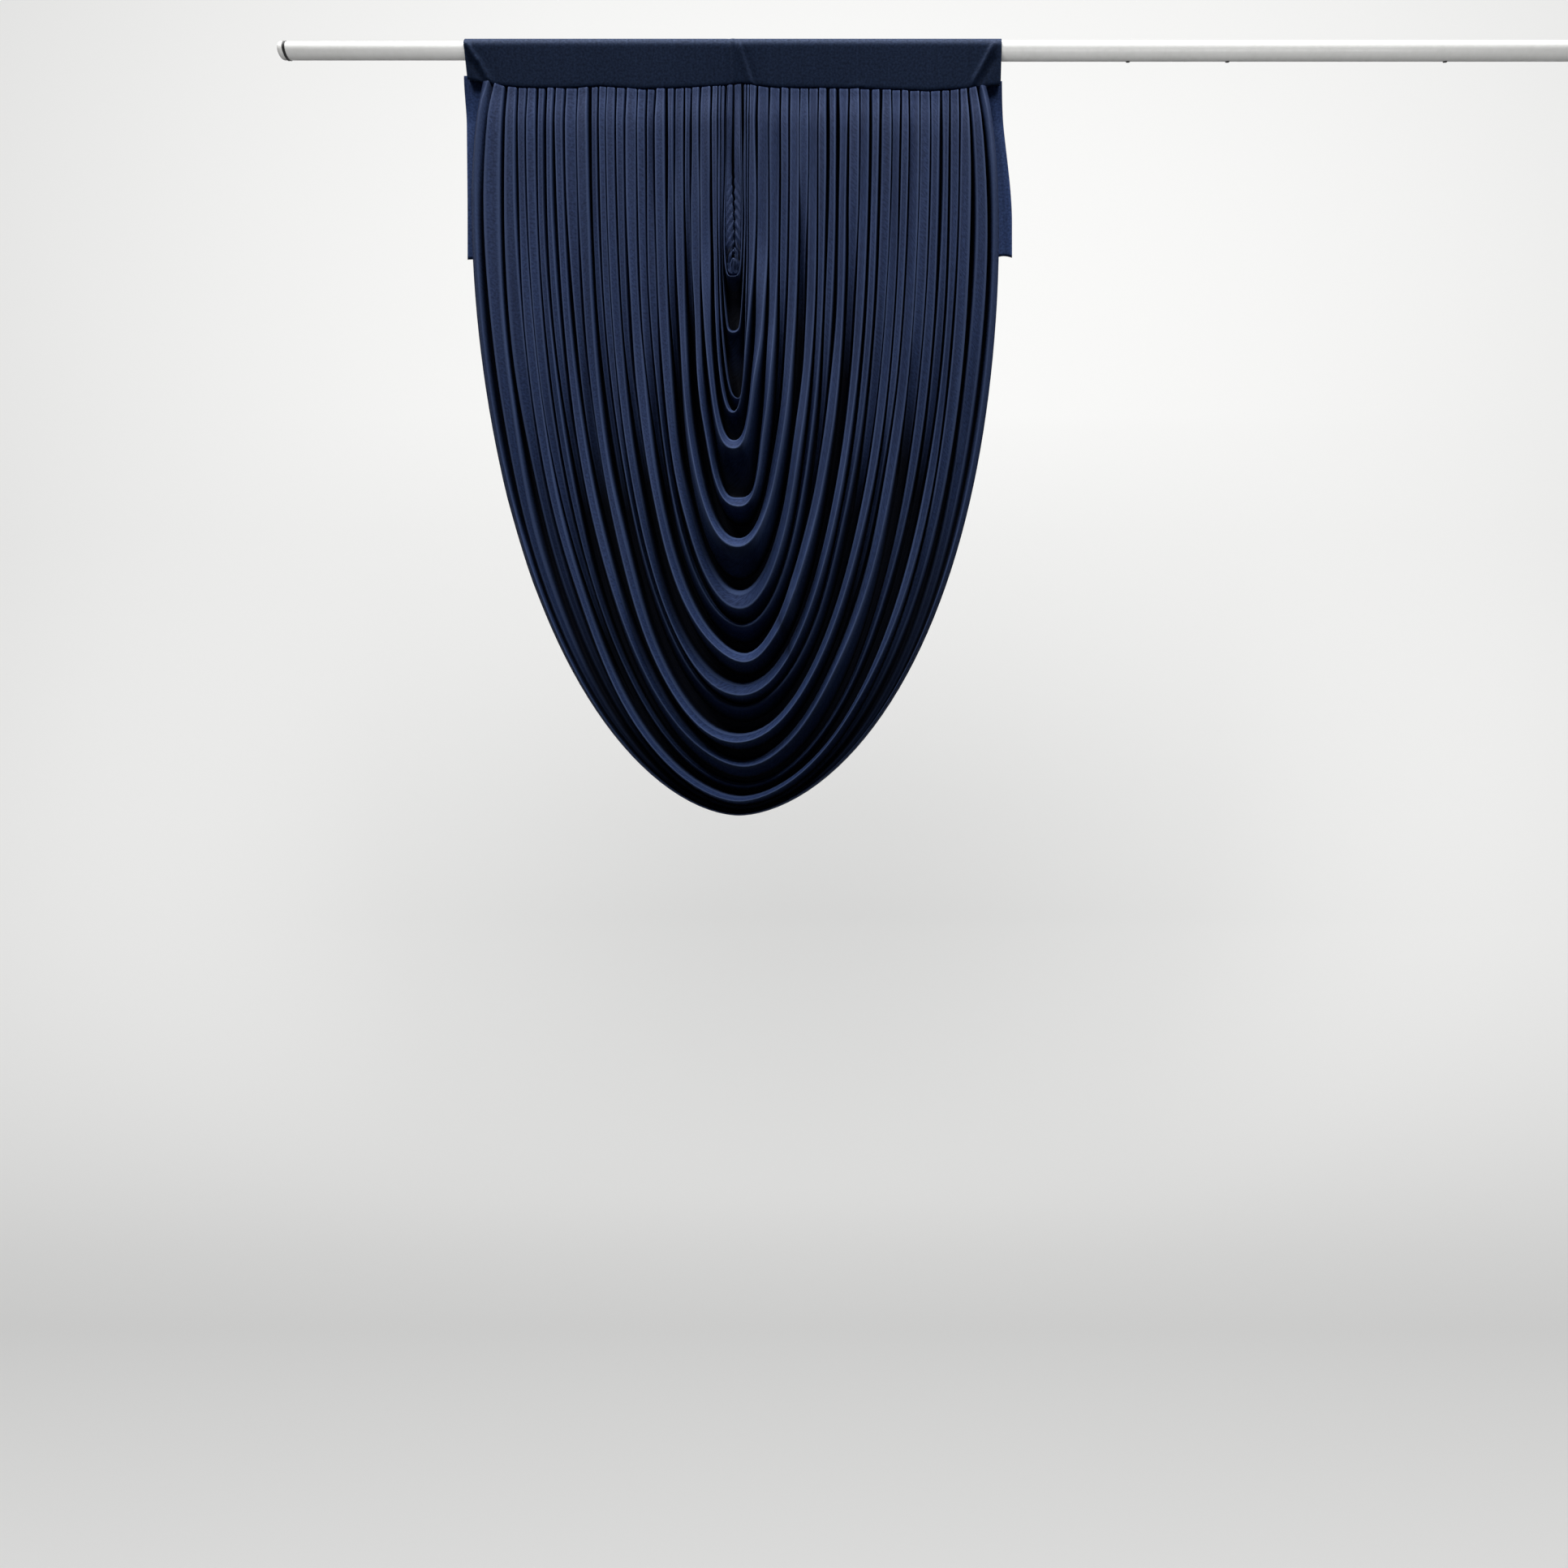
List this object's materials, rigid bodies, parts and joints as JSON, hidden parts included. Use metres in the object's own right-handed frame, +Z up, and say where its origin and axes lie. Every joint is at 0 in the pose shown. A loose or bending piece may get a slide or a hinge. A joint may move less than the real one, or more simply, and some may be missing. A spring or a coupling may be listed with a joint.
{
  "type": "swag and tail drape on a plain rail",
  "caption": "Gathered cloth swag with a rod-pocket heading, nested hanging folds and short side tails, on a plain round rail.",
  "frame": {"origin": "on the rail's axis, above the middle of the swag", "axes": "+X along the rail, to the right of someone who faces the drape; +Y back, away from that viewer; +Z up"},
  "size_m": [2.9853, 0.0915, 1.6272],
  "materials": {
    "navy_knit": "fine stretch knit with a soft satin sheen",
    "white_enamel": "semi-gloss",
    "white_plastic": "satin",
    "black_rubber": "matte"
  },
  "bodies": {
    "root": {"rail_thin": "white_enamel", "rail_thick": "white_enamel", "rail_collar": "black_rubber", "cap_left": "white_plastic", "cap_right": "white_plastic", "heading": "navy_knit", "swag": "navy_knit", "tail_left": "navy_knit", "tail_right": "navy_knit"}
  },
  "joints": []
}
